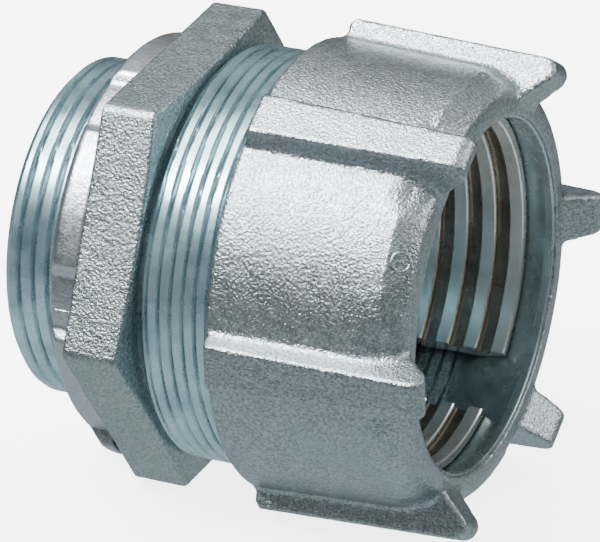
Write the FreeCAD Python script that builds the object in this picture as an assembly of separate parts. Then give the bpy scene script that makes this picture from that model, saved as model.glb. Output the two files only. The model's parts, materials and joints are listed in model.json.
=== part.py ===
import FreeCAD, Part
import math
import os

# Compression connector for 1-1/2 inch rigid conduit: a hexagonal fitting body, the locknut on its hub,
# the ribbed gland nut and the split gland ring that the nut squeezes onto the conduit.
# Millimetres. +X runs along the bore towards the gland opening and +Z is up. The origin is on the
# bore's axis, in the plane of the hexagon face that seats against the box wall.
# Angles round the bore are counted from +Z towards -Y.

# conduit and threads
CONDUIT_R = 24.13
HUB_PITCH = 25.4 / 11.5
HUB_CREST_R = 23.95
HUB_DEPTH = 0.65
GLAND_PITCH = 25.4 / 14
GLAND_CREST_R = 29.1
GLAND_DEPTH = 0.55
THREAD_GAP = 0.18
CREST_SHARE = 0.64

# fitting body
HUB_LENGTH = 13.96
HUB_CHAMFER = 0.8
WIREWAY_R = 20.45
WIREWAY_CHAMFER = 0.8
ACROSS_CORNERS = 67.6
HEX_PHASE = -23.9
HEX_CORNER_FILLET = 1.0
HEX_THICKNESS = 8.65
HEX_CORNER_THICKNESS = 8.0
NECK_R = 28.0
GLAND_THREAD_START = 10.1
BODY_MOUTH_X = 28.0
SOCKET_R = CONDUIT_R + 0.35
SOCKET_STOP_X = 6.0

# split gland ring, and the conical seats at both its ends
RING_BACK_X = 25.1
RING_FRONT_X = 42.8
RING_OUTER_R = 27.6
RING_LAND_R = CONDUIT_R + 0.17
RING_END_WALL = 1.4
RING_GROOVE_DEPTH = 1.1
RING_PITCH = 4.25
RING_LAND = 2.1
RING_LANDS = 4
RING_FLANK = 0.2
RING_GAP_FROM = 204.0
RING_GAP_TO = 226.0
SEAT_SLOPE = math.tan(math.radians(24))
SEAT_GAP = 0.16

# gland nut
NUT_BACK_X = 20.4
NUT_FRONT_X = 47.8
NUT_BACK_R = 31.7
NUT_BACK_ROUND = 0.6
NUT_SHOULDER_X = 42.6
NUT_SHOULDER_R = 30.5
NUT_RIM_R = 26.4
NUT_LIP_R = CONDUIT_R + 0.27
NUT_BORE_R = GLAND_CREST_R + THREAD_GAP
NUT_CHAMFER = 0.4
RIB_COUNT = 6
RIB_PHASE = 31.5
RIB_BACK_X = 21.1
RIB_TIP_X = 51.9
RIB_BACK_R = 34.4
RIB_TIP_R = 33.2
RIB_ROOT_R = 30.4
RIB_FOOT_R = 26.4
RIB_BACK_LEAN = 0.6
RIB_BACK_WIDTH = 6.3
RIB_TIP_WIDTH = 4.6
RIB_DRAFT = 1.3
RIB_BEVEL = 0.8
EAR_ROUND = 1.8
EAR_SLOPE = 45.0
SHOULDER_STEPS = 8
PAD_RISE = 1.5
PAD_BACK_RISE = 0.2
PAD_LENGTH = 4.2
PAD_FLAT = 0.8
PAD_EDGE = 0.4
PADS = ((-12, 16), (46, 71), (172, 196))

# locknut
LOCKNUT_THICKNESS = 4.6
LOCKNUT_SEAT_GAP = 0.1
LOCKNUT_ROOT_R = 27.7
LOCKNUT_LUG_R = 28.9
LOCKNUT_HIGH_LUG_R = 31.0
LOCKNUT_BEVEL = 0.7
LOCKNUT_CHAMFER = 0.6
LUG_COUNT = 6
LUG_FROM = 37.0
LUG_SWEEP = 41.0
LUG_FLANK = 5.0
HIGH_LUG_FROM = 138.0
HIGH_LUG_SWEEP = 19.0
LUG_STEPS = 8


def at(x, r):
    """Point of a turned outline, at station x and radius r."""
    return FreeCAD.Vector(x, 0, r)


def polar(x, r, angle):
    """Point at station x, radius r and an angle round the bore in degrees."""
    a = math.radians(angle)
    return FreeCAD.Vector(x, -r * math.sin(a), r * math.cos(a))


def turned(outline, start=0, sweep=360):
    """Solid of revolution about the bore of a closed outline of (x, r) points."""
    points = [at(x, r) for x, r in outline]
    face = Part.Face(Part.makePolygon(points + points[:1]))
    axis = FreeCAD.Vector(1, 0, 0)
    origin = FreeCAD.Vector(0, 0, 0)
    face.rotate(origin, axis, start)
    return face.revolve(origin, axis, sweep)


def arc_points(centre, radius, start, end, count=6):
    """(x, r) points on an arc, from angle start to end in degrees counted from +X."""
    steps = [math.radians(start + (end - start) * i / count) for i in range(count + 1)]
    return [(centre[0] + radius * math.cos(a), centre[1] + radius * math.sin(a)) for a in steps]


def thread_outline(start, end, pitch, crest_r, depth):
    """(x, r) points of a thread's broad crests and narrow grooves, as rings of its pitch and depth."""
    crest = CREST_SHARE * pitch
    count = int((end - start - crest) / pitch)
    points = []
    for i in range(count):
        x = start + i * pitch
        points += [(x, crest_r), (x + crest, crest_r), (x + (crest + pitch) / 2, crest_r - depth)]
    return points + [(start + count * pitch, crest_r), (end, crest_r)]


def hexagon():
    """Wrench hexagon with rounded corners and a dished face on the gland side."""
    corners = [polar(0, ACROSS_CORNERS / 2, HEX_PHASE + 60 * i) for i in range(6)]
    base = Part.Face(Part.makePolygon(corners + corners[:1]))
    prism = base.extrude(FreeCAD.Vector(HEX_THICKNESS, 0, 0))
    along = [e for e in prism.Edges if abs(e.tangentAt(e.FirstParameter).x) > 0.99]
    prism = prism.makeFillet(HEX_CORNER_FILLET, along)
    flat_r = ACROSS_CORNERS / 2 * math.cos(math.radians(30))
    reach = ACROSS_CORNERS / 2 + 1
    slope = (HEX_THICKNESS - HEX_CORNER_THICKNESS) / (ACROSS_CORNERS / 2 - flat_r)
    envelope = turned([
        (-1, 0),
        (-1, reach),
        (HEX_THICKNESS - slope * (reach - flat_r), reach),
        (HEX_THICKNESS, flat_r),
        (HEX_THICKNESS, 0),
    ])
    return prism.common(envelope)


def ring_end_r():
    """Outer radius of the gland ring at its two ends."""
    return RING_LAND_R + RING_END_WALL


def fitting_body():
    """Hub, hexagon and gland thread in one casting, bored through for the wires and the conduit."""
    hub_end_r = HUB_CREST_R - HUB_CHAMFER
    hub = [(-HUB_LENGTH, 0), (-HUB_LENGTH, hub_end_r)]
    inside_x = HEX_THICKNESS / 2
    mouth_bevel_x = BODY_MOUTH_X - GLAND_DEPTH
    hub += thread_outline(-HUB_LENGTH + HUB_CHAMFER, inside_x, HUB_PITCH, HUB_CREST_R, HUB_DEPTH)
    hub += [(inside_x, NECK_R), (GLAND_THREAD_START - GLAND_DEPTH, NECK_R)]
    hub += thread_outline(GLAND_THREAD_START, mouth_bevel_x, GLAND_PITCH, GLAND_CREST_R, GLAND_DEPTH)
    hub += [(BODY_MOUTH_X, GLAND_CREST_R - GLAND_DEPTH), (BODY_MOUTH_X, 0)]
    mouth_r = ring_end_r() + SEAT_GAP + SEAT_SLOPE * (BODY_MOUTH_X - RING_BACK_X)
    seat_end_x = BODY_MOUTH_X - (mouth_r - SOCKET_R) / SEAT_SLOPE
    bore = turned([
        (-HUB_LENGTH - 1, 0),
        (-HUB_LENGTH - 1, WIREWAY_R + WIREWAY_CHAMFER + 1),
        (-HUB_LENGTH + WIREWAY_CHAMFER, WIREWAY_R),
        (SOCKET_STOP_X, WIREWAY_R),
        (SOCKET_STOP_X, SOCKET_R),
        (seat_end_x, SOCKET_R),
        (BODY_MOUTH_X + 1, mouth_r + SEAT_SLOPE),
        (BODY_MOUTH_X + 1, 0),
    ])
    return turned(hub).fuse(hexagon()).cut(bore).removeSplitter()


def gland_ring():
    """Split ring with square lands inside, tapered outside at both ends to fit the two seats."""
    taper = (RING_OUTER_R - ring_end_r()) / SEAT_SLOPE
    groove_r = RING_LAND_R + RING_GROOVE_DEPTH
    outline = [
        (RING_BACK_X, groove_r),
        (RING_BACK_X, ring_end_r()),
        (RING_BACK_X + taper, RING_OUTER_R),
        (RING_FRONT_X - taper, RING_OUTER_R),
        (RING_FRONT_X, ring_end_r()),
    ]
    for i in range(RING_LANDS):
        front = RING_FRONT_X - i * RING_PITCH
        back = front - RING_LAND
        next_front = front - RING_PITCH + RING_FLANK
        outline += [(front, RING_LAND_R), (back, RING_LAND_R), (back - RING_FLANK, groove_r)]
        if i < RING_LANDS - 1:
            outline += [(next_front, groove_r)]
    return turned(outline, RING_GAP_TO, 360 - (RING_GAP_TO - RING_GAP_FROM))


def ear_outline():
    """Side view of one rib: a straight top that falls a little, and a hooked ear past the rim."""
    centre = (RIB_TIP_X - EAR_ROUND, RIB_TIP_R - EAR_ROUND)
    tip = arc_points(centre, EAR_ROUND, 90, -EAR_SLOPE, 9)
    last_x, last_r = tip[-1]
    drop = last_r - RIB_FOOT_R
    foot = (last_x - drop * math.tan(math.radians(EAR_SLOPE)), RIB_FOOT_R)
    return [(RIB_BACK_X, RIB_FOOT_R), (RIB_BACK_X + RIB_BACK_LEAN, RIB_BACK_R)] + tip + [foot]


def rib_section(x, top_r, width):
    """Wire across one rib at station x: a drafted bar with bevelled top corners."""
    top = width / 2
    root = top + RIB_DRAFT
    right = [(top - RIB_BEVEL, top_r), (top, top_r - RIB_BEVEL), (root, RIB_ROOT_R), (root, RIB_FOOT_R - 1)]
    left = [(-y, z) for y, z in reversed(right)]
    points = [FreeCAD.Vector(x, y, z) for y, z in left + right]
    return Part.makePolygon(points + points[:1])


def rib(angle):
    """One drafted rib along the nut with its rounded ear."""
    back = rib_section(RIB_BACK_X - 0.5, RIB_BACK_R, RIB_BACK_WIDTH)
    tip = rib_section(RIB_TIP_X + 0.5, RIB_TIP_R, RIB_TIP_WIDTH)
    bar = Part.makeLoft([back, tip], True, True)
    half = RIB_BACK_WIDTH + RIB_DRAFT
    side = [FreeCAD.Vector(x, -half, r) for x, r in ear_outline()]
    plate = Part.Face(Part.makePolygon(side + side[:1])).extrude(FreeCAD.Vector(0, 2 * half, 0))
    one = bar.common(plate)
    one.rotate(FreeCAD.Vector(0, 0, 0), FreeCAD.Vector(1, 0, 0), angle)
    return one


def nut_shell_outline():
    """Outer outline of the nut's shell, from its back rim over the rounded shoulder to its front rim."""
    across = NUT_FRONT_X - NUT_SHOULDER_X
    down = NUT_SHOULDER_R - NUT_RIM_R
    turns = [math.radians(90 * i / SHOULDER_STEPS) for i in range(SHOULDER_STEPS + 1)]
    shoulder = [(NUT_SHOULDER_X + across * math.sin(a), NUT_RIM_R + down * math.cos(a)) for a in turns]
    back = [(NUT_BACK_X, NUT_BACK_R - NUT_BACK_ROUND), (NUT_BACK_X + NUT_BACK_ROUND, NUT_BACK_R)]
    return [(NUT_BACK_X, 0)] + back + shoulder + [(NUT_FRONT_X, 0)]


def pad(first, last):
    """Flat-topped pad cast on the nut's shoulder between two angles."""
    back_x = NUT_FRONT_X - PAD_LENGTH
    inside_r = NUT_RIM_R - 1
    outline = [
        (back_x, inside_r),
        (back_x, NUT_SHOULDER_R + PAD_BACK_RISE),
        (back_x + PAD_FLAT, NUT_SHOULDER_R + PAD_BACK_RISE),
        (NUT_FRONT_X - PAD_EDGE, NUT_RIM_R + PAD_RISE),
        (NUT_FRONT_X, NUT_RIM_R + PAD_EDGE),
        (NUT_FRONT_X, inside_r),
    ]
    return turned(outline, first, last - first)


def gland_nut():
    """Ribbed cap nut, bored to run over the gland thread and coned to press on the ring."""
    seat_r = ring_end_r() + SEAT_GAP
    lip_start_x = RING_FRONT_X + (seat_r - NUT_LIP_R) / SEAT_SLOPE
    seat_start_x = RING_FRONT_X - (NUT_BORE_R - seat_r) / SEAT_SLOPE
    bore = turned([
        (NUT_BACK_X - 1, 0),
        (NUT_BACK_X - 1, NUT_BORE_R + NUT_CHAMFER + 1),
        (NUT_BACK_X + NUT_CHAMFER, NUT_BORE_R),
        (seat_start_x, NUT_BORE_R),
        (lip_start_x, NUT_LIP_R),
        (RIB_TIP_X + 1, NUT_LIP_R),
        (RIB_TIP_X + 1, 0),
    ])
    shell = turned(nut_shell_outline())
    ribs = [rib(RIB_PHASE + i * 360 / RIB_COUNT) for i in range(RIB_COUNT)]
    pads = [pad(*span) for span in PADS]
    return shell.fuse(ribs + pads).cut(bore).removeSplitter()


def lug(first, sweep, outer):
    """One lug of the locknut with sloping flanks, as a solid that reaches in to the nut's ring."""
    inside_r = LOCKNUT_ROOT_R - 1
    last = first + sweep
    rim = [first + sweep * i / LUG_STEPS for i in range(LUG_STEPS + 1)]
    points = [polar(0, inside_r, first - LUG_FLANK)]
    points += [polar(0, outer, a) for a in rim]
    points += [polar(0, inside_r, a) for a in [last + LUG_FLANK] + rim[::-1]]
    face = Part.Face(Part.makePolygon(points + points[:1]))
    body = face.extrude(FreeCAD.Vector(LOCKNUT_THICKNESS, 0, 0))
    body.translate(FreeCAD.Vector(-LOCKNUT_SEAT_GAP - LOCKNUT_THICKNESS, 0, 0))
    return body


def locknut():
    """Low ring nut with lugs round its edge and one raised tab, run up against the hexagon."""
    front = -LOCKNUT_SEAT_GAP
    back = front - LOCKNUT_THICKNESS
    ring = turned([(back, 0), (back, LOCKNUT_ROOT_R), (front, LOCKNUT_ROOT_R), (front, 0)])
    reach = LOCKNUT_HIGH_LUG_R + 1
    bevel = reach - (LOCKNUT_LUG_R - LOCKNUT_BEVEL)
    envelope = turned([(back, 0), (back, reach - bevel), (back + bevel, reach), (front, reach), (front, 0)])
    bore_r = HUB_CREST_R + THREAD_GAP
    bore = turned([
        (back - 1, 0),
        (back - 1, bore_r + LOCKNUT_CHAMFER + 1),
        (back + LOCKNUT_CHAMFER, bore_r),
        (front - LOCKNUT_CHAMFER, bore_r),
        (front + 1, bore_r + LOCKNUT_CHAMFER + 1),
        (front + 1, 0),
    ])
    pitch = 360 / LUG_COUNT
    lugs = [lug(LUG_FROM + i * pitch, LUG_SWEEP, LOCKNUT_LUG_R) for i in range(LUG_COUNT)]
    lugs.append(lug(HIGH_LUG_FROM, HIGH_LUG_SWEEP, LOCKNUT_HIGH_LUG_R))
    return ring.fuse(lugs).common(envelope).cut(bore).removeSplitter()


NODES = {
    "fitting_body": fitting_body,
    "locknut": locknut,
    "gland_nut": gland_nut,
    "gland_ring": gland_ring,
}

os.makedirs("parts", exist_ok=True)
for node, make in NODES.items():
    shape = make()
    print(node, "solids", len(shape.Solids), "valid", shape.isValid(), "mm3", round(shape.Volume))
    shape.exportStep("parts/" + node + ".step")
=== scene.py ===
import json
import math

import bpy
import numpy as np
from mathutils import Matrix, Vector

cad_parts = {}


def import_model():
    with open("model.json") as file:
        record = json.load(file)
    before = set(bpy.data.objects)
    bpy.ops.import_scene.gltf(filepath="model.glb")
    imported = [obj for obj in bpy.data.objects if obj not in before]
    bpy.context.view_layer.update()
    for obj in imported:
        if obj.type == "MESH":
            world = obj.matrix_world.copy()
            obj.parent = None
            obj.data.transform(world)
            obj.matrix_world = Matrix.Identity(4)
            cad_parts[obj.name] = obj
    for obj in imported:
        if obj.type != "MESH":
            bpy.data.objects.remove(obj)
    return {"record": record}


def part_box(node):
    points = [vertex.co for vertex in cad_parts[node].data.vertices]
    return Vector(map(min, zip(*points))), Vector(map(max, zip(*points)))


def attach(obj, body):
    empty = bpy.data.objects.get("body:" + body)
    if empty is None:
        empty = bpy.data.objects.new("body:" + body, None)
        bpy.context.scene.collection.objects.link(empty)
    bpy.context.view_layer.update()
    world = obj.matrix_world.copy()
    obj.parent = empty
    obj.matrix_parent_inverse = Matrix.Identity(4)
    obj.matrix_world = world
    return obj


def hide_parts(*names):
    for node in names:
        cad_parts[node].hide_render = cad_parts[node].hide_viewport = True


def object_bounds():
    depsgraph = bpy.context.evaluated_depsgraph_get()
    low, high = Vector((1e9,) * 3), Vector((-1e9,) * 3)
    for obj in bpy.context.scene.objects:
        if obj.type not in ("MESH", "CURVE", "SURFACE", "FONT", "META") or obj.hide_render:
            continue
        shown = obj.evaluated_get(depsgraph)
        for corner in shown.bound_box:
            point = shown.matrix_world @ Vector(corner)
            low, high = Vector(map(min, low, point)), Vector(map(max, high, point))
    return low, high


# Looks of a compression connector for rigid conduit. Shapes are worked out in millimetres, in the CAD
# frame: +X along the bore towards the gland opening, +Z up, and angles counted from +Z towards -Y.
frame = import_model()
cad_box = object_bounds()

MM = 0.001
record = frame["record"]
mounts = {m["name"]: m for m in record["mounts"]}


def span(node):
    """Lowest and highest x of a CAD node, in mm."""
    low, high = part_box(node)
    return low[0] / MM, high[0] / MM


# sizes read from the frame
HUB_END, MOUTH = span("fitting_body")
LOCKNUT_BACK, LOCKNUT_FRONT = span("locknut")
NUT_BACK, EAR_TIP = span("gland_nut")
RING_BACK, RING_FRONT = span("gland_ring")
WIREWAY_R = mounts["wireway"]["dims"]["r_mm"]
SOCKET_R = mounts["conduit_socket"]["dims"]["r_mm"]
LIP_R = mounts["conduit_entry"]["dims"]["r_mm"]
HUB_R = mounts["hub_thread"]["dims"]["r_mm"]
LIP_LENGTH = mounts["conduit_entry"]["dims"]["length_mm"]
SOCKET_LENGTH = mounts["conduit_socket"]["dims"]["length_mm"]
NUT_FRONT = mounts["conduit_entry"]["pos_m"][0] / MM + LIP_LENGTH / 2
SOCKET_MID = mounts["conduit_socket"]["pos_m"][0] / MM
SOCKET_STOP = SOCKET_MID - SOCKET_LENGTH / 2
SOCKET_END = SOCKET_MID + SOCKET_LENGTH / 2

# sizes of the CAD solids that the frame doesn't name
HUB_PITCH = 25.4 / 11.5
HUB_DEPTH = 0.65
HUB_CHAMFER = 0.8
GLAND_PITCH = 25.4 / 14
GLAND_R = 29.1
GLAND_DEPTH = 0.55
GLAND_START = 10.1
NECK_R = 28.0
SEAT_SLOPE = math.tan(math.radians(24))
SEAT_GAP = 0.16
RING_OUTER_R = 27.6
RING_LAND_R = 24.3
RING_END_R = 25.7
RING_GROOVE = 1.1
RING_PITCH = 4.25
RING_LAND = 2.1
RING_GAP = (204.0, 226.0)
HEX_CORNER_R = 33.8
HEX_PHASE = -23.9
HEX_THICKNESS = 8.65
HEX_CORNER_THICKNESS = 8.0
NUT_BACK_R = 31.7
SHOULDER_X = 42.6
SHOULDER_R = 30.5
RIM_R = 26.4
NUT_BORE_R = 29.28
LINER_WALL = 0.55
LIP_WALL = 0.2
RIB_PHASE = 31.5
RIB_BACK_R = 34.35
RIB_TIP_R = 33.15
RIB_INSIDE_R = 26.0
EAR_ROUND = 1.9
PADS = ((4, 16), (59.5, 11), (184, 12))
MARK_X = 45.9
MARK_R = 29.36
MARK_ANGLE = 59.5
MARK_SIZE = 1.25
MARK_TUBE = 0.25
LOCKNUT_ROOT_R = 27.7
LOCKNUT_LUG_R = 28.85
LOCKNUT_HIGH_R = 30.95
LUG_FROM = 37.0
LUG_SWEEP = 41.0
HIGH_LUG_MIDDLE = 147.5
HIGH_LUG_SWEEP = 19.0


# ---------------------------------------------------------------- meshes

def new_piece(name, points, faces, body, node=None, smooth_angle=40):
    """Object from points in mm and faces, riding on a body and standing for a CAD node."""
    mesh = bpy.data.meshes.new(name)
    mesh.from_pydata((np.asarray(points) * MM).tolist(), [], [list(f) for f in faces])
    mesh.validate()
    mesh.update()
    for polygon in mesh.polygons:
        polygon.use_smooth = True
    mesh.set_sharp_from_angle(angle=math.radians(smooth_angle))
    piece = bpy.data.objects.new(name, mesh)
    bpy.context.scene.collection.objects.link(piece)
    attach(piece, body)
    if node:
        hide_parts(node)
    return piece


def turned(outline, columns=320, start=0.0, sweep=360.0, relief=None):
    """Points and faces of a closed (x, r) outline turned about the bore. relief(x, r, angle) changes r."""
    outline = np.array(outline, float)
    ahead = np.roll(outline, -1, 0)
    if (outline[:, 0] * ahead[:, 1] - ahead[:, 0] * outline[:, 1]).sum() < 0:
        outline = outline[::-1]
    rows = len(outline)
    whole = sweep >= 360
    count = columns if whole else columns + 1
    angle = np.radians(start + sweep * np.arange(count) / columns)
    x = np.repeat(outline[:, :1], count, 1)
    r = np.repeat(outline[:, 1:], count, 1)
    a = np.repeat(angle[None], rows, 0)
    if relief:
        r = relief(x, r, a)
    points = np.stack([x, -r * np.sin(a), r * np.cos(a)], -1).reshape(-1, 3)
    faces = []
    for i in range(rows):
        k = (i + 1) % rows
        for j in range(count if whole else count - 1):
            m = (j + 1) % count
            faces.append((i * count + j, k * count + j, k * count + m, i * count + m))
    if not whole:
        faces.append([i * count for i in range(rows)][::-1])
        faces.append([i * count + count - 1 for i in range(rows)])
    return points, faces


def stations(points, step):
    """Closed (x, r) outline with every run cut into lengths of about step."""
    out = []
    for (x0, r0), (x1, r1) in zip(points, points[1:] + points[:1]):
        n = max(1, int(math.ceil(math.hypot(x1 - x0, r1 - r0) / step)))
        out += [(x0 + (x1 - x0) * i / n, r0 + (r1 - r0) * i / n) for i in range(n)]
    return out


def open_stations(points, step):
    """Open (x, r) line with every run cut into lengths of about step, and its last point kept."""
    closing = max(1, int(math.ceil(math.dist(points[-1], points[0]) / step)))
    return stations(points, step)[:-closing] + points[-1:]


def thread_height(x, angle, pitch):
    """Height of a right-hand thread's surface, from 0 in its narrow groove to 1 on its broad crest."""
    turn = np.mod(x / pitch - angle / (2 * math.pi), 1.0)
    off_groove = np.abs(turn - 0.5) * 2
    return np.clip(off_groove / 0.36, 0, 1) ** 0.8


# ---------------------------------------------------------------- solid fields

def lattice(ix, iy, iz, seed):
    """Repeatable random number from 0 to 1 for each lattice point."""
    h = (ix * 374761393 + iy * 668265263 + iz * 1274126177 + seed * 974634777) & 0xFFFFFFFF
    h = ((h ^ (h >> 13)) * 1103515245) & 0xFFFFFFFF
    h = ((h ^ (h >> 16)) * 2246822519) & 0xFFFFFFFF
    return (h ^ (h >> 15)) / 4294967296.0


def value_noise(p, wavelength, seed):
    """Smooth noise from -1 to 1 at points p in mm."""
    q = p / wavelength
    base = np.floor(q).astype(np.int64)
    f = q - base
    f = f * f * (3 - 2 * f)
    total = 0
    for dx in (0, 1):
        for dy in (0, 1):
            for dz in (0, 1):
                weight = (
                    (f[:, 0] if dx else 1 - f[:, 0])
                    * (f[:, 1] if dy else 1 - f[:, 1])
                    * (f[:, 2] if dz else 1 - f[:, 2])
                )
                total = total + weight * lattice(base[:, 0] + dx, base[:, 1] + dy, base[:, 2] + dz, seed)
    return total * 2 - 1


def cast_skin(points, normals, amount, seed):
    """Points moved along their normals into the pebbly skin of a sand casting, always inwards."""
    height = 0.4 * value_noise(points, 3.4, seed)
    height += 0.5 * value_noise(points, 1.3, seed + 1)
    height += 1.0 * value_noise(points, 0.75, seed + 2)
    return points + normals * (amount * (height - 1.2) / 1.9)[:, None]


def smooth_max(a, b, k):
    """Larger of two fields, rounded over a width k."""
    h = np.clip(0.5 + 0.5 * (a - b) / k, 0, 1)
    return b + (a - b) * h + k * h * (1 - h)


def smooth_min(a, b, k):
    """Smaller of two fields, filleted over a width k."""
    return -smooth_max(-a, -b, k)


def outline_distance(u, v, outline):
    """Signed distance from points (u, v) to a closed outline, negative inside."""
    best = np.full(u.shape, 1e9)
    inside = np.zeros(u.shape, bool)
    for (x0, y0), (x1, y1) in zip(outline, outline[1:] + outline[:1]):
        ex, ey = x1 - x0, y1 - y0
        px, py = u - x0, v - y0
        t = np.clip((px * ex + py * ey) / (ex * ex + ey * ey), 0, 1)
        best = np.minimum(best, (px - ex * t) ** 2 + (py - ey * t) ** 2)
        if y0 != y1:
            crosses = (y0 > v) != (y1 > v)
            inside ^= crosses & (u < ex * (v - y0) / (y1 - y0) + x0)
    return np.where(inside, -1, 1) * np.sqrt(best)


class FieldTable:
    """Distance to an outline kept on a fine plane grid, so that looking it up is quick."""

    def __init__(self, outline, margin=4.0, step=0.08):
        low = np.min(outline, 0) - margin
        high = np.max(outline, 0) + margin
        self.low, self.step = low, step
        self.u = np.arange(low[0], high[0], step)
        self.v = np.arange(low[1], high[1], step)
        u, v = np.meshgrid(self.u, self.v, indexing="ij")
        self.values = outline_distance(u, v, list(map(tuple, outline)))

    def __call__(self, u, v):
        a = np.clip((u - self.low[0]) / self.step, 0, len(self.u) - 1.001)
        b = np.clip((v - self.low[1]) / self.step, 0, len(self.v) - 1.001)
        i, j = a.astype(int), b.astype(int)
        s, t = a - i, b - j
        f = self.values
        return ((f[i, j] * (1 - s) + f[i + 1, j] * s) * (1 - t)
                + (f[i, j + 1] * (1 - s) + f[i + 1, j + 1] * s) * t)


CORNERS = [(i, j, k) for i in (0, 1) for j in (0, 1) for k in (0, 1)]
EDGES = [(a, b) for a in range(8) for b in range(a + 1, 8)
         if sum(abs(p - q) for p, q in zip(CORNERS[a], CORNERS[b])) == 1]


def surface_net(field, low, high, step):
    """Points, normals and four-sided faces of the surface where field is zero."""
    axes = [np.arange(low[i], high[i] + step, step) for i in range(3)]
    grid = np.meshgrid(*axes, indexing="ij")
    values = field(*[g.ravel() for g in grid]).reshape(grid[0].shape)
    inside = values < 0
    nx, ny, nz = (n - 1 for n in inside.shape)
    count = sum(inside[i:i + nx, j:j + ny, k:k + nz].astype(np.int8) for i, j, k in CORNERS)
    cells = np.argwhere((count > 0) & (count < 8))
    corner = [values[cells[:, 0] + i, cells[:, 1] + j, cells[:, 2] + k] for i, j, k in CORNERS]
    total = np.zeros((len(cells), 3))
    hits = np.zeros(len(cells))
    for a, b in EDGES:
        crosses = (corner[a] < 0) != (corner[b] < 0)
        t = np.where(crosses, corner[a] / np.where(crosses, corner[a] - corner[b], 1), 0)
        start, end = np.array(CORNERS[a], float), np.array(CORNERS[b], float)
        total += crosses[:, None] * (start + t[:, None] * (end - start))
        hits += crosses
    points = (cells + total / hits[:, None]) * step + np.array([a[0] for a in axes])
    number = np.full(count.shape, -1)
    number[tuple(cells.T)] = np.arange(len(cells))
    faces = []
    for axis in range(3):
        one, two = (axis + 1) % 3, (axis + 2) % 3
        first = [slice(None)] * 3
        second = [slice(None)] * 3
        first[axis], second[axis] = slice(0, -1), slice(1, None)
        here, there = inside[tuple(first)], inside[tuple(second)]
        at = np.argwhere(here != there)
        at = at[(at[:, one] > 0) & (at[:, two] > 0)]
        at = at[(at[:, one] < values.shape[one] - 1) & (at[:, two] < values.shape[two] - 1)]
        outward = here[tuple(at.T)]
        quad = []
        for da, db in ((-1, -1), (0, -1), (0, 0), (-1, 0)):
            c = at.copy()
            c[:, one] += da
            c[:, two] += db
            quad.append(number[tuple(c.T)])
        quad = np.stack(quad, 1)
        quad[~outward] = quad[~outward][:, ::-1]
        faces.append(quad)
    faces = np.concatenate(faces)
    for _ in range(3):
        points, normals = settle(field, points, step)
    return points, normals, faces


def settle(field, points, step):
    """Points pulled onto the zero surface, and the field's unit normals there."""
    e = 0.2 * step
    slopes = []
    for axis in range(3):
        shift = np.zeros(3)
        shift[axis] = e
        ahead, behind = points + shift, points - shift
        slopes.append((field(*ahead.T) - field(*behind.T)) / (2 * e))
    slope = np.stack(slopes, 1)
    length = np.linalg.norm(slope, axis=1) + 1e-9
    move = np.clip(field(*points.T) / length, -step, step)
    normals = slope / length[:, None]
    return points - normals * move[:, None], normals


def around(y, z):
    """Radius and angle in degrees, from +Z towards -Y, of points."""
    return np.hypot(y, z), np.degrees(np.arctan2(-y, z))


# ---------------------------------------------------------------- castings

def slab(x, low, high):
    """Field of the space between two planes across the bore."""
    return np.abs(x - (low + high) / 2) - (high - low) / 2


def nut_seat_x(r):
    """Station where the nut's conical seat has radius r."""
    return RING_FRONT + (RING_END_R + SEAT_GAP - r) / SEAT_SLOPE


def shell_outline():
    """Cast shell of the gland nut: straight sides, a rounded shoulder and a narrow front rim."""
    across, down = NUT_FRONT - SHOULDER_X, SHOULDER_R - RIM_R
    turn = [math.radians(90 * i / 12) for i in range(13)]
    outer = [(NUT_BACK, NUT_BACK_R - 0.5), (NUT_BACK + 0.5, NUT_BACK_R)]
    outer += [(SHOULDER_X + across * math.sin(a), RIM_R + down * math.cos(a)) for a in turn]
    inner = [(NUT_FRONT, LIP_R + LIP_WALL), (nut_seat_x(LIP_R), LIP_R + LINER_WALL)]
    inner += [(nut_seat_x(NUT_BORE_R), NUT_BORE_R + LINER_WALL), (NUT_BACK, NUT_BORE_R + LINER_WALL)]
    return outer + inner


def ear_outline():
    """Side view of a rib: its top falls a little towards a rounded ear that hooks back to the rim."""
    centre = (EAR_TIP - 0.05 - EAR_ROUND, RIB_TIP_R - EAR_ROUND)
    turn = [math.radians(90 - 140 * i / 14) for i in range(15)]
    tip = [(centre[0] + EAR_ROUND * math.cos(a), centre[1] + EAR_ROUND * math.sin(a)) for a in turn]
    drop = tip[-1][1] - RIB_INSIDE_R
    foot = (tip[-1][0] - 1.05 * drop, tip[-1][1] - drop)
    start = NUT_BACK + 0.75
    back = [(start, RIB_INSIDE_R), (start, RIB_BACK_R - 1.0), (NUT_BACK + 1.5, RIB_BACK_R)]
    return back + tip + [foot]


def nut_field():
    """Field of the gland nut's casting, with filleted ribs and three raised pads."""
    shell = FieldTable(shell_outline())
    side = FieldTable(ear_outline())
    bore_r = NUT_BORE_R + LINER_WALL
    inner = FieldTable([
        (NUT_BACK - 3, 0.0), (NUT_BACK - 3, bore_r), (nut_seat_x(NUT_BORE_R), bore_r),
        (nut_seat_x(LIP_R), LIP_R + LINER_WALL), (NUT_FRONT, LIP_R + LIP_WALL),
        (EAR_TIP + 3, LIP_R + LIP_WALL), (EAR_TIP + 3, 0.0),
    ], margin=8)

    def field(x, y, z):
        r, angle = around(y, z)
        solid = shell(x, r)
        solid = smooth_min(solid + hollow(x, angle), pad_field(x, r, angle), 0.2)
        along = np.clip((x - NUT_BACK) / (EAR_TIP - NUT_BACK), 0, 1)
        offset = np.mod(angle - RIB_PHASE + 30, 60) - 30
        t = r * np.sin(np.radians(offset))
        h = r * np.cos(np.radians(offset))
        half = 3.25 - 0.95 * along + 0.16 * np.clip(RIB_BACK_R - h, 0, 6)
        rib = smooth_max(side(x, h), np.abs(t) - half, 0.45)
        solid = smooth_min(solid, rib, 0.9)
        return smooth_max(solid, -inner(x, r), 0.25)
    return field


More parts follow.
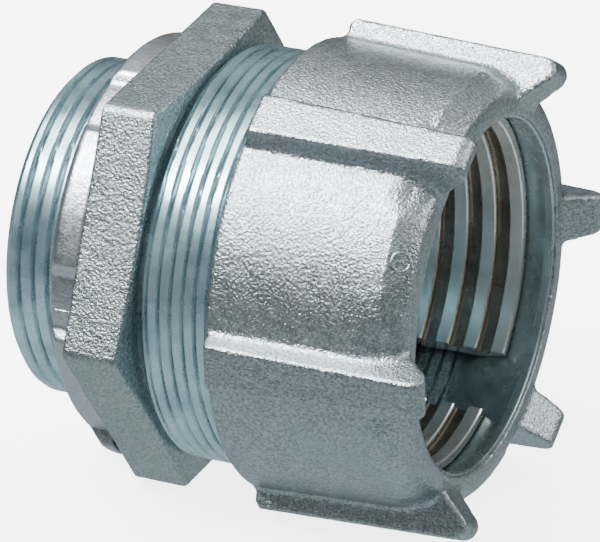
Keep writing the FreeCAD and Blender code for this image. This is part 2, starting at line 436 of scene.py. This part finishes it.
def hollow(x, angle):
    """Depth in mm of the dents in the nut's shoulder, close to each rib."""
    from_rib = np.abs(np.mod(angle - RIB_PHASE + 30, 60) - 30)
    beside = np.clip(1 - np.abs(from_rib - 10) / 6, 0, 1)
    along = np.clip(1 - np.abs(x - SHOULDER_X - 2.2) / 2.6, 0, 1)
    return 0.7 * beside * along


def pad_field(x, r, angle):
    """Three flat pads standing on the nut's shoulder between ribs."""
    best = np.full(x.shape, 1e3)
    slope = (SHOULDER_R - RIM_R) / (NUT_FRONT - SHOULDER_X)
    top = (r - RIM_R - 1.9) + slope * 0.95 * (x - NUT_FRONT + 0.4)
    for middle, half in PADS:
        off = np.abs(np.mod(angle - middle + 180, 360) - 180) - half
        best = np.minimum(best, off * np.radians(1) * 28)
    pad = smooth_max(best, top * 0.75, 0.25)
    pad = smooth_max(pad, slab(x, NUT_FRONT - 3.7, NUT_FRONT - 0.2), 0.25)
    return smooth_max(pad, 25.5 - r, 0.3)


def hexagon_field():
    """Field of the wrench hexagon: rounded corners, soft edges and a dished face towards the gland."""
    flat_r = HEX_CORNER_R * math.cos(math.radians(30))
    dish = (HEX_THICKNESS - HEX_CORNER_THICKNESS) / (HEX_CORNER_R - flat_r)

    def field(x, y, z):
        r, angle = around(y, z)
        off = np.radians(np.mod(angle - HEX_PHASE, 60) - 30)
        flats = r * np.cos(off) - flat_r - 0.12
        beside = r * np.cos(np.radians(60) - np.abs(off)) - flat_r - 0.12
        sides = smooth_max(flats, beside, 0.8)
        front = (x - HEX_THICKNESS + dish * np.clip(r - flat_r, 0, None))
        ends = np.maximum(front, 0.02 - x)
        return np.maximum(smooth_max(sides, ends, 0.45), 26.5 - r)
    return field


def lug_rise(off, half):
    """From 0 beside a lug to 1 on it, for angles off its middle and its half width in degrees."""
    rise = np.clip((half + 2.0 - off) / 4.0, 0, 1)
    return rise * rise * (3 - 2 * rise)


def locknut_field():
    """Field of the locknut: a low ring with six lugs, and a raised tab between two of them."""
    low = LOCKNUT_ROOT_R - 0.1

    def field(x, y, z):
        r, angle = around(y, z)
        off = np.abs(np.mod(angle - LUG_FROM - LUG_SWEEP / 2 + 30, 60) - 30)
        outer = low + (LOCKNUT_LUG_R - low) * lug_rise(off, LUG_SWEEP / 2)
        from_tab = np.abs(np.mod(angle - HIGH_LUG_MIDDLE + 180, 360) - 180)
        outer = np.maximum(outer, low + (LOCKNUT_HIGH_R - low) * lug_rise(from_tab, HIGH_LUG_SWEEP / 2))
        rim = (r - outer) * 0.8
        bevel = (r - LOCKNUT_LUG_R + 1.0 - (x - LOCKNUT_BACK)) * 0.7071
        ends = slab(x, LOCKNUT_BACK + 0.02, LOCKNUT_FRONT - 0.02)
        solid = smooth_max(smooth_max(rim, bevel, 0.3), ends, 0.3)
        bore = HUB_R + 0.2 - r + np.clip(1.2 - (x - LOCKNUT_BACK), 0, None)
        return smooth_max(solid, bore * 0.8, 0.25)
    return field


def casting(name, field, low, high, step, amount, seed, body, node):
    """Piece with the surface of a field and a cast skin pressed into it."""
    points, normals, faces = surface_net(field, low, high, step)
    points = cast_skin(points, normals, amount, seed)
    return new_piece(name, points, faces, body, node, smooth_angle=180)


# ---------------------------------------------------------------- turned pieces

def fitting_core():
    """Threaded hub, neck and gland thread turned on one bored core."""
    mouth_r = RING_END_R + SEAT_GAP + SEAT_SLOPE * (MOUTH - RING_BACK)
    chamfer = 0.5
    outside = [
        (HUB_END, HUB_R - HUB_CHAMFER), (HUB_END + HUB_CHAMFER, HUB_R), (0.2, HUB_R), (0.4, NECK_R - 0.4),
    ]
    gland = [
        (GLAND_START - 1.0, NECK_R), (GLAND_START, GLAND_R), (MOUTH - 0.8, GLAND_R), (MOUTH, GLAND_R - 0.9),
    ]
    inside = [
        (MOUTH, mouth_r + chamfer), (MOUTH - chamfer, mouth_r - 0.2), (SOCKET_END, SOCKET_R),
        (SOCKET_STOP, SOCKET_R), (SOCKET_STOP, WIREWAY_R),
        (HUB_END + 0.8, WIREWAY_R), (HUB_END, WIREWAY_R + 0.8),
    ]
    rows = open_stations(outside, 0.17) + open_stations(gland, 0.15) + open_stations(inside, 2.0)

    def relief(x, r, angle):
        hub = (x < 0.1) & (r > WIREWAY_R + 1.6)
        gland = (x > GLAND_START - 0.6) & (r > mouth_r + 0.8)
        hub_cut = HUB_R - HUB_DEPTH * (1 - thread_height(x, angle, HUB_PITCH))
        gland_cut = GLAND_R - GLAND_DEPTH * (1 - thread_height(x, angle, GLAND_PITCH))
        r = np.where(hub, np.minimum(r, hub_cut), r)
        return np.where(gland, np.minimum(r, gland_cut), r)
    points, faces = turned(rows, 320, relief=relief)
    return new_piece("fitting_core", points, faces, "fitting", "fitting_body", 50)


def nut_liner():
    """Machined inside of the gland nut: female thread, conical seat and lip."""
    skin = 1.0
    outline = [
        (NUT_BACK + 0.15, NUT_BORE_R + 0.9), (NUT_BACK + 0.15, NUT_BORE_R + 0.4),
        (NUT_BACK + 0.6, NUT_BORE_R),
        (nut_seat_x(NUT_BORE_R), NUT_BORE_R), (nut_seat_x(LIP_R), LIP_R), (NUT_FRONT - 0.6, LIP_R),
        (NUT_FRONT - 0.4, LIP_R + 0.2), (NUT_FRONT - 0.4, LIP_R + skin),
        (nut_seat_x(LIP_R) + 0.2, LIP_R + skin), (nut_seat_x(NUT_BORE_R), NUT_BORE_R + 0.9),
    ]
    rows = stations(outline, 0.16)
    thread_end = nut_seat_x(NUT_BORE_R) - 0.6

    def relief(x, r, angle):
        thread = (x < thread_end) & (r < NUT_BORE_R + 0.2)
        cut = NUT_BORE_R + 0.75 * thread_height(x + GLAND_PITCH / 2, angle, GLAND_PITCH)
        return np.where(thread, np.maximum(r, cut), r)
    points, faces = turned(rows, 232, relief=relief)
    return new_piece("gland_nut_seat", points, faces, "nut", None, 50)


def pad_mark():
    """Small round mark that stands on one pad, half sunk in it."""
    turns = np.linspace(0, 2 * math.pi, 13)[:-1]
    tube = [(MARK_TUBE * math.cos(a), MARK_SIZE + MARK_TUBE * math.sin(a)) for a in turns]
    points, faces = turned(tube, 48)
    lean = math.atan2(SHOULDER_R - RIM_R, NUT_FRONT - SHOULDER_X)
    out = Matrix.Rotation(math.radians(MARK_ANGLE), 4, "X") @ Matrix.Translation((MARK_X, 0, MARK_R))
    tilt = out @ Matrix.Rotation(lean - math.pi / 2, 4, "Y")
    return new_piece("pad_mark", [tilt @ Vector(p) for p in points], faces, "nut", None)


def ring_outline(edge=0.18):
    """Closed outline of the split ring, with square lands inside and a small bevel on each edge."""
    taper = (RING_OUTER_R - RING_END_R) / SEAT_SLOPE
    points = [
        (RING_BACK, RING_LAND_R + 0.9), (RING_BACK, RING_END_R - edge), (RING_BACK + edge, RING_END_R + 0.08),
        (RING_BACK + taper, RING_OUTER_R), (RING_FRONT - taper, RING_OUTER_R),
        (RING_FRONT - edge, RING_END_R + 0.08), (RING_FRONT, RING_END_R - edge),
    ]
    groove_r = RING_LAND_R + RING_GROOVE
    front = RING_FRONT
    while front - RING_LAND > RING_BACK:
        back = front - RING_LAND
        points += [(front, RING_LAND_R + edge), (front - edge, RING_LAND_R), (back + edge, RING_LAND_R)]
        points += [(back, RING_LAND_R + edge), (back - 0.1, groove_r - 0.2), (back - 0.35, groove_r)]
        front -= RING_PITCH
        if front - RING_LAND > RING_BACK:
            points += [(front + 0.35, groove_r), (front + 0.1, groove_r - 0.2)]
    return points


def gland_ring():
    """Split compression ring."""
    rows = stations(ring_outline(), 0.5)
    points, faces = turned(rows, 300, RING_GAP[1], 360 - (RING_GAP[1] - RING_GAP[0]))
    return new_piece("gland_ring_steel", points, faces, "ring", "gland_ring", 28)


# ---------------------------------------------------------------- materials

class Nodes:
    """Short way to add and link shader nodes."""

    def __init__(self, name):
        self.material = bpy.data.materials.new(name)
        self.material.use_nodes = True
        self.tree = self.material.node_tree
        self.shader = self.tree.nodes["Principled BSDF"]
        self.place = self.add("ShaderNodeTexCoord").outputs["Object"]

    def add(self, kind, inputs=(), **settings):
        node = self.tree.nodes.new(kind)
        for key, value in settings.items():
            setattr(node, key, value)
        for key, value in dict(inputs).items():
            self.feed(node.inputs[key], value)
        return node

    def feed(self, socket, value):
        if isinstance(value, bpy.types.NodeSocket):
            self.tree.links.new(value, socket)
        else:
            socket.default_value = value

    def noise(self, scale, detail=3.0, roughness=0.55, vector=None):
        inputs = {"Vector": vector or self.place, "Scale": scale, "Detail": detail, "Roughness": roughness}
        return self.add("ShaderNodeTexNoise", inputs).outputs["Fac"]

    def ramp(self, factor, *stops):
        node = self.add("ShaderNodeValToRGB", {"Fac": factor})
        ramp = node.color_ramp
        while len(ramp.elements) < len(stops):
            ramp.elements.new(0.5)
        for element, (position, colour) in zip(ramp.elements, stops):
            element.position = position
            element.color = (*colour, 1.0)
        return node.outputs["Color"]

    def spread(self, factor, low, high, from_low=0.3, from_high=0.7):
        node = self.add("ShaderNodeMapRange", {"Value": factor, "From Min": from_low, "From Max": from_high,
                                               "To Min": low, "To Max": high})
        return node.outputs["Result"]

    def mix(self, factor, one, two, blend="MIX"):
        node = self.add("ShaderNodeMix", data_type="RGBA", blend_type=blend)
        self.feed(node.inputs["Factor"], factor)
        self.feed(node.inputs["A"], one)
        self.feed(node.inputs["B"], two)
        return node.outputs["Result"]

    def bump(self, height, strength, distance, normal=None):
        inputs = {"Height": height, "Strength": strength, "Distance": distance}
        if normal:
            inputs["Normal"] = normal
        return self.add("ShaderNodeBump", inputs).outputs["Normal"]


def cast_zinc(name, dark, pale, stain, tint, depth=1.0):
    """Zinc plate on an as-cast skin: pebbly, blue-grey, with dull stains and a faint colour."""
    n = Nodes(name)
    mottle = n.noise(160, 5, 0.6)
    grain = n.noise(2400, 3, 0.6)
    base = n.ramp(grain, (0.36, dark), (0.62, pale))
    base = n.mix(n.spread(mottle, 0.0, 0.45, 0.52, 0.72), base, (*stain, 1))
    base = n.mix(n.spread(n.noise(55, 2, 0.5), 0.0, 0.45, 0.52, 0.75), base, (*tint, 1))
    n.feed(n.shader.inputs["Base Color"], base)
    n.shader.inputs["Metallic"].default_value = 1.0
    n.feed(n.shader.inputs["Roughness"], n.spread(n.noise(420, 4, 0.6), 0.28, 0.40))
    pebble = n.bump(n.noise(2500, 2, 0.5), 0.66 * depth, 0.00024)
    fine = n.bump(n.noise(4600, 2, 0.5), 0.55 * depth, 0.00010, pebble)
    n.feed(n.shader.inputs["Normal"], fine)
    return n.material


def turned_zinc(name, dark, pale, roughness=(0.20, 0.34), depth=1.0):
    """Zinc plate on a turned surface: smoother, bluer, with fine lines round the bore."""
    n = Nodes(name)
    lines = n.add("ShaderNodeMapping", {"Vector": n.place, "Scale": (5000, 0, 0)}).outputs["Vector"]
    cut = n.noise(1.0, 3, 0.6, lines)
    cloud = n.noise(140, 4, 0.6)
    base = n.ramp(cloud, (0.32, dark), (0.68, pale))
    base = n.mix(n.spread(cut, 0.0, 0.35), base, (*dark, 1))
    n.feed(n.shader.inputs["Base Color"], base)
    n.shader.inputs["Metallic"].default_value = 0.88
    n.feed(n.shader.inputs["Roughness"], n.spread(n.noise(300, 3, 0.5), *roughness))
    n.feed(n.shader.inputs["Normal"], n.bump(cut, 0.30 * depth, 0.00005))
    return n.material


def paint(piece, *materials):
    """Gives a piece its materials."""
    for material in materials:
        piece.data.materials.append(material)
    return piece


def second_material(piece, test):
    """Second material on the faces that pass a test of station, radius and how far out they face."""
    for polygon in piece.data.polygons:
        x, y, z = polygon.center / MM
        r = math.hypot(y, z)
        facing = (y * polygon.normal.y + z * polygon.normal.z) / r
        polygon.material_index = int(test(x, r, facing))


# ---------------------------------------------------------------- making

# the core's second material is a darker copy of its zinc: painted shade in the thread grooves and on the neck
# beside the hexagon
core = paint(
    fitting_core(),
    turned_zinc("zinc_thread", (0.19, 0.30, 0.34), (0.38, 0.53, 0.59)),
    turned_zinc("thread_groove", (0.17, 0.24, 0.27), (0.28, 0.38, 0.42)))
paint(
    casting("wrench_hexagon", hexagon_field(), (-0.6, -34.6, -34.6), (9.4, 34.6, 34.6), 0.32, 0.035, 11,
            "fitting", None),
    cast_zinc("zinc_hexagon", (0.27, 0.32, 0.33), (0.54, 0.61, 0.62), (0.38, 0.40, 0.40), (0.42, 0.51, 0.54)))
shell = paint(
    casting("gland_nut_casting", nut_field(), (NUT_BACK - 0.8, -35.2, -35.2), (EAR_TIP + 0.8, 35.2, 35.2),
            0.46, 0.04, 23, "nut", "gland_nut"),
    cast_zinc("zinc_nut", (0.30, 0.34, 0.36), (0.57, 0.63, 0.66), (0.40, 0.40, 0.40), (0.45, 0.55, 0.60)))
paint(pad_mark(), shell.data.materials[0])
paint(nut_liner(), turned_zinc("zinc_seat", (0.22, 0.29, 0.31), (0.38, 0.47, 0.50)))
paint(
    casting("locknut_zinc", locknut_field(), (LOCKNUT_BACK - 0.6, -31.8, -31.8),
            (LOCKNUT_FRONT + 0.6, 31.8, 31.8), 0.3, 0.03, 37, "locknut", "locknut"),
    cast_zinc("zinc_locknut", (0.50, 0.53, 0.58), (0.66, 0.68, 0.73), (0.46, 0.46, 0.49), (0.60, 0.56, 0.62),
              0.4))
# the ring's second material is a dark brown copy of its metal: painted shade on the floors of the grooves
# inside the ring
ring = paint(
    gland_ring(),
    turned_zinc("zinc_ring", (0.56, 0.60, 0.58), (0.78, 0.80, 0.76), (0.14, 0.22)),
    turned_zinc("ring_groove", (0.13, 0.11, 0.085), (0.30, 0.26, 0.21), (0.22, 0.34)))


def in_painted_ring_groove_shade(x, r, facing):
    """Faces on the floor of the grooves inside the ring: they get painted shade, a dark brown copy of the
    ring metal.
    """
    return facing < -0.1 and r > RING_LAND_R + 0.4


def in_painted_thread_shade(x, r, facing):
    """Faces deep in either outside thread, and the neck beside the hexagon: they get painted shade, a darker
    copy of the thread zinc.
    """
    if facing <= 0.1:
        return False
    if x < 0.2:
        return HUB_R - HUB_DEPTH - 0.1 < r < HUB_R - 0.35
    return x > 0.2 and NECK_R - 0.6 < r < GLAND_R - 0.3


# painted shade: the dark brown copy goes on the ring's groove floors
second_material(ring, in_painted_ring_groove_shade)
# painted shade: the darker zinc copy goes on the thread grooves and the neck
second_material(core, in_painted_thread_shade)


# ---------------------------------------------------------------- stage

def floor(z):
    """Pale floor with a soft rise behind the object."""
    mesh = bpy.data.meshes.new("floor")
    reach, back, bend = 1.6, 0.9, 0.5
    section = [(-reach, 0.0), (back, 0.0)]
    section += [(back + bend * math.sin(a), bend - bend * math.cos(a))
                for a in [math.radians(90 * i / 16) for i in range(1, 17)]]
    section += [(back + bend, 2.4)]
    points = [(sx * 2.5, y, z + h) for y, h in section for sx in (-1, 1)]
    faces = [(2 * i, 2 * i + 1, 2 * i + 3, 2 * i + 2) for i in range(len(section) - 1)]
    mesh.from_pydata(points, [], faces)
    for polygon in mesh.polygons:
        polygon.use_smooth = True
    plane = bpy.data.objects.new("floor", mesh)
    bpy.context.scene.collection.objects.link(plane)
    material = bpy.data.materials.new("floor_paper")
    material.use_nodes = True
    shader = material.node_tree.nodes["Principled BSDF"]
    shader.inputs["Base Color"].default_value = (0.93, 0.93, 0.93, 1)
    shader.inputs["Roughness"].default_value = 0.9
    shader.inputs["Emission Color"].default_value = (1, 1, 1, 1)
    shader.inputs["Emission Strength"].default_value = 4.0
    mesh.materials.append(material)
    plane.visible_glossy = False


def softbox(name, direction, distance, size, power, colour=(1, 1, 1)):
    """Square area light that faces the object from a direction."""
    light = bpy.data.lights.new(name, "AREA")
    light.shape = "RECTANGLE"
    light.size, light.size_y = size
    light.energy = power
    light.color = colour
    lamp = bpy.data.objects.new(name, light)
    bpy.context.scene.collection.objects.link(lamp)
    way = Vector(direction).normalized()
    centre = Vector((0.02, 0, 0))
    lamp.location = centre + way * distance
    lamp.rotation_euler = way.to_track_quat("Z", "Y").to_euler()
    return lamp


def camera():
    """Long lens from the gland side, a little above the bore."""
    azimuth, elevation, roll = math.radians(25.457), math.radians(23.88), math.radians(-0.587)
    distance, aside, down, ahead = 0.5557, 0.0135, -0.00366, 0.00456
    back = Vector((math.sin(azimuth) * math.cos(elevation), -math.cos(azimuth) * math.cos(elevation),
                   math.sin(elevation)))
    level = Vector((math.cos(azimuth), math.sin(azimuth), 0))
    upright = back.cross(level)
    right = level * math.cos(roll) + upright * math.sin(roll)
    up = upright * math.cos(roll) - level * math.sin(roll)
    lens = bpy.data.cameras.new("camera")
    lens.lens = 238.84
    lens.sensor_width = 36
    lens.clip_end = 20
    view = bpy.data.objects.new("camera", lens)
    bpy.context.scene.collection.objects.link(view)
    place = right * aside + up * down + back * distance + Vector((ahead, 0, 0))
    view.matrix_world = Matrix.Translation(place) @ Matrix((right, up, back)).transposed().to_4x4()
    bpy.context.scene.camera = view


def world():
    """Surroundings that are pale overhead and dark below the horizon."""
    air = bpy.data.worlds.new("surroundings")
    air.use_nodes = True
    nodes, links = air.node_tree.nodes, air.node_tree.links
    place = nodes.new("ShaderNodeTexCoord")
    split = nodes.new("ShaderNodeSeparateXYZ")
    ramp = nodes.new("ShaderNodeValToRGB")
    height = nodes.new("ShaderNodeMapRange")
    height.inputs["From Min"].default_value = -1.0
    links.new(place.outputs["Generated"], split.inputs["Vector"])
    links.new(split.outputs["Z"], height.inputs["Value"])
    links.new(height.outputs["Result"], ramp.inputs["Fac"])
    links.new(ramp.outputs["Color"], nodes["Background"].inputs["Color"])
    stops = ((0.0, 0.62), (0.28, 0.56), (0.43, 0.11), (0.50, 0.05), (0.66, 0.18), (0.78, 0.66), (1.0, 0.56))
    while len(ramp.color_ramp.elements) < len(stops):
        ramp.color_ramp.elements.new(0.5)
    for element, (position, value) in zip(ramp.color_ramp.elements, stops):
        element.position = position
        element.color = (value * (0.84 + 0.12 * position), value, value * (1.05 - 0.04 * position), 1)
    bpy.context.scene.world = air


floor(cad_box[0].z)
world()
softbox("key", (-0.39, -0.50, 0.78), 0.9, (0.20, 0.18), 11)
softbox("top", (-0.3, -0.15, 0.95), 1.0, (0.5, 0.5), 9)
softbox("right", (1.0, 0.35, 0.45), 1.1, (0.4, 0.4), 4)
camera()
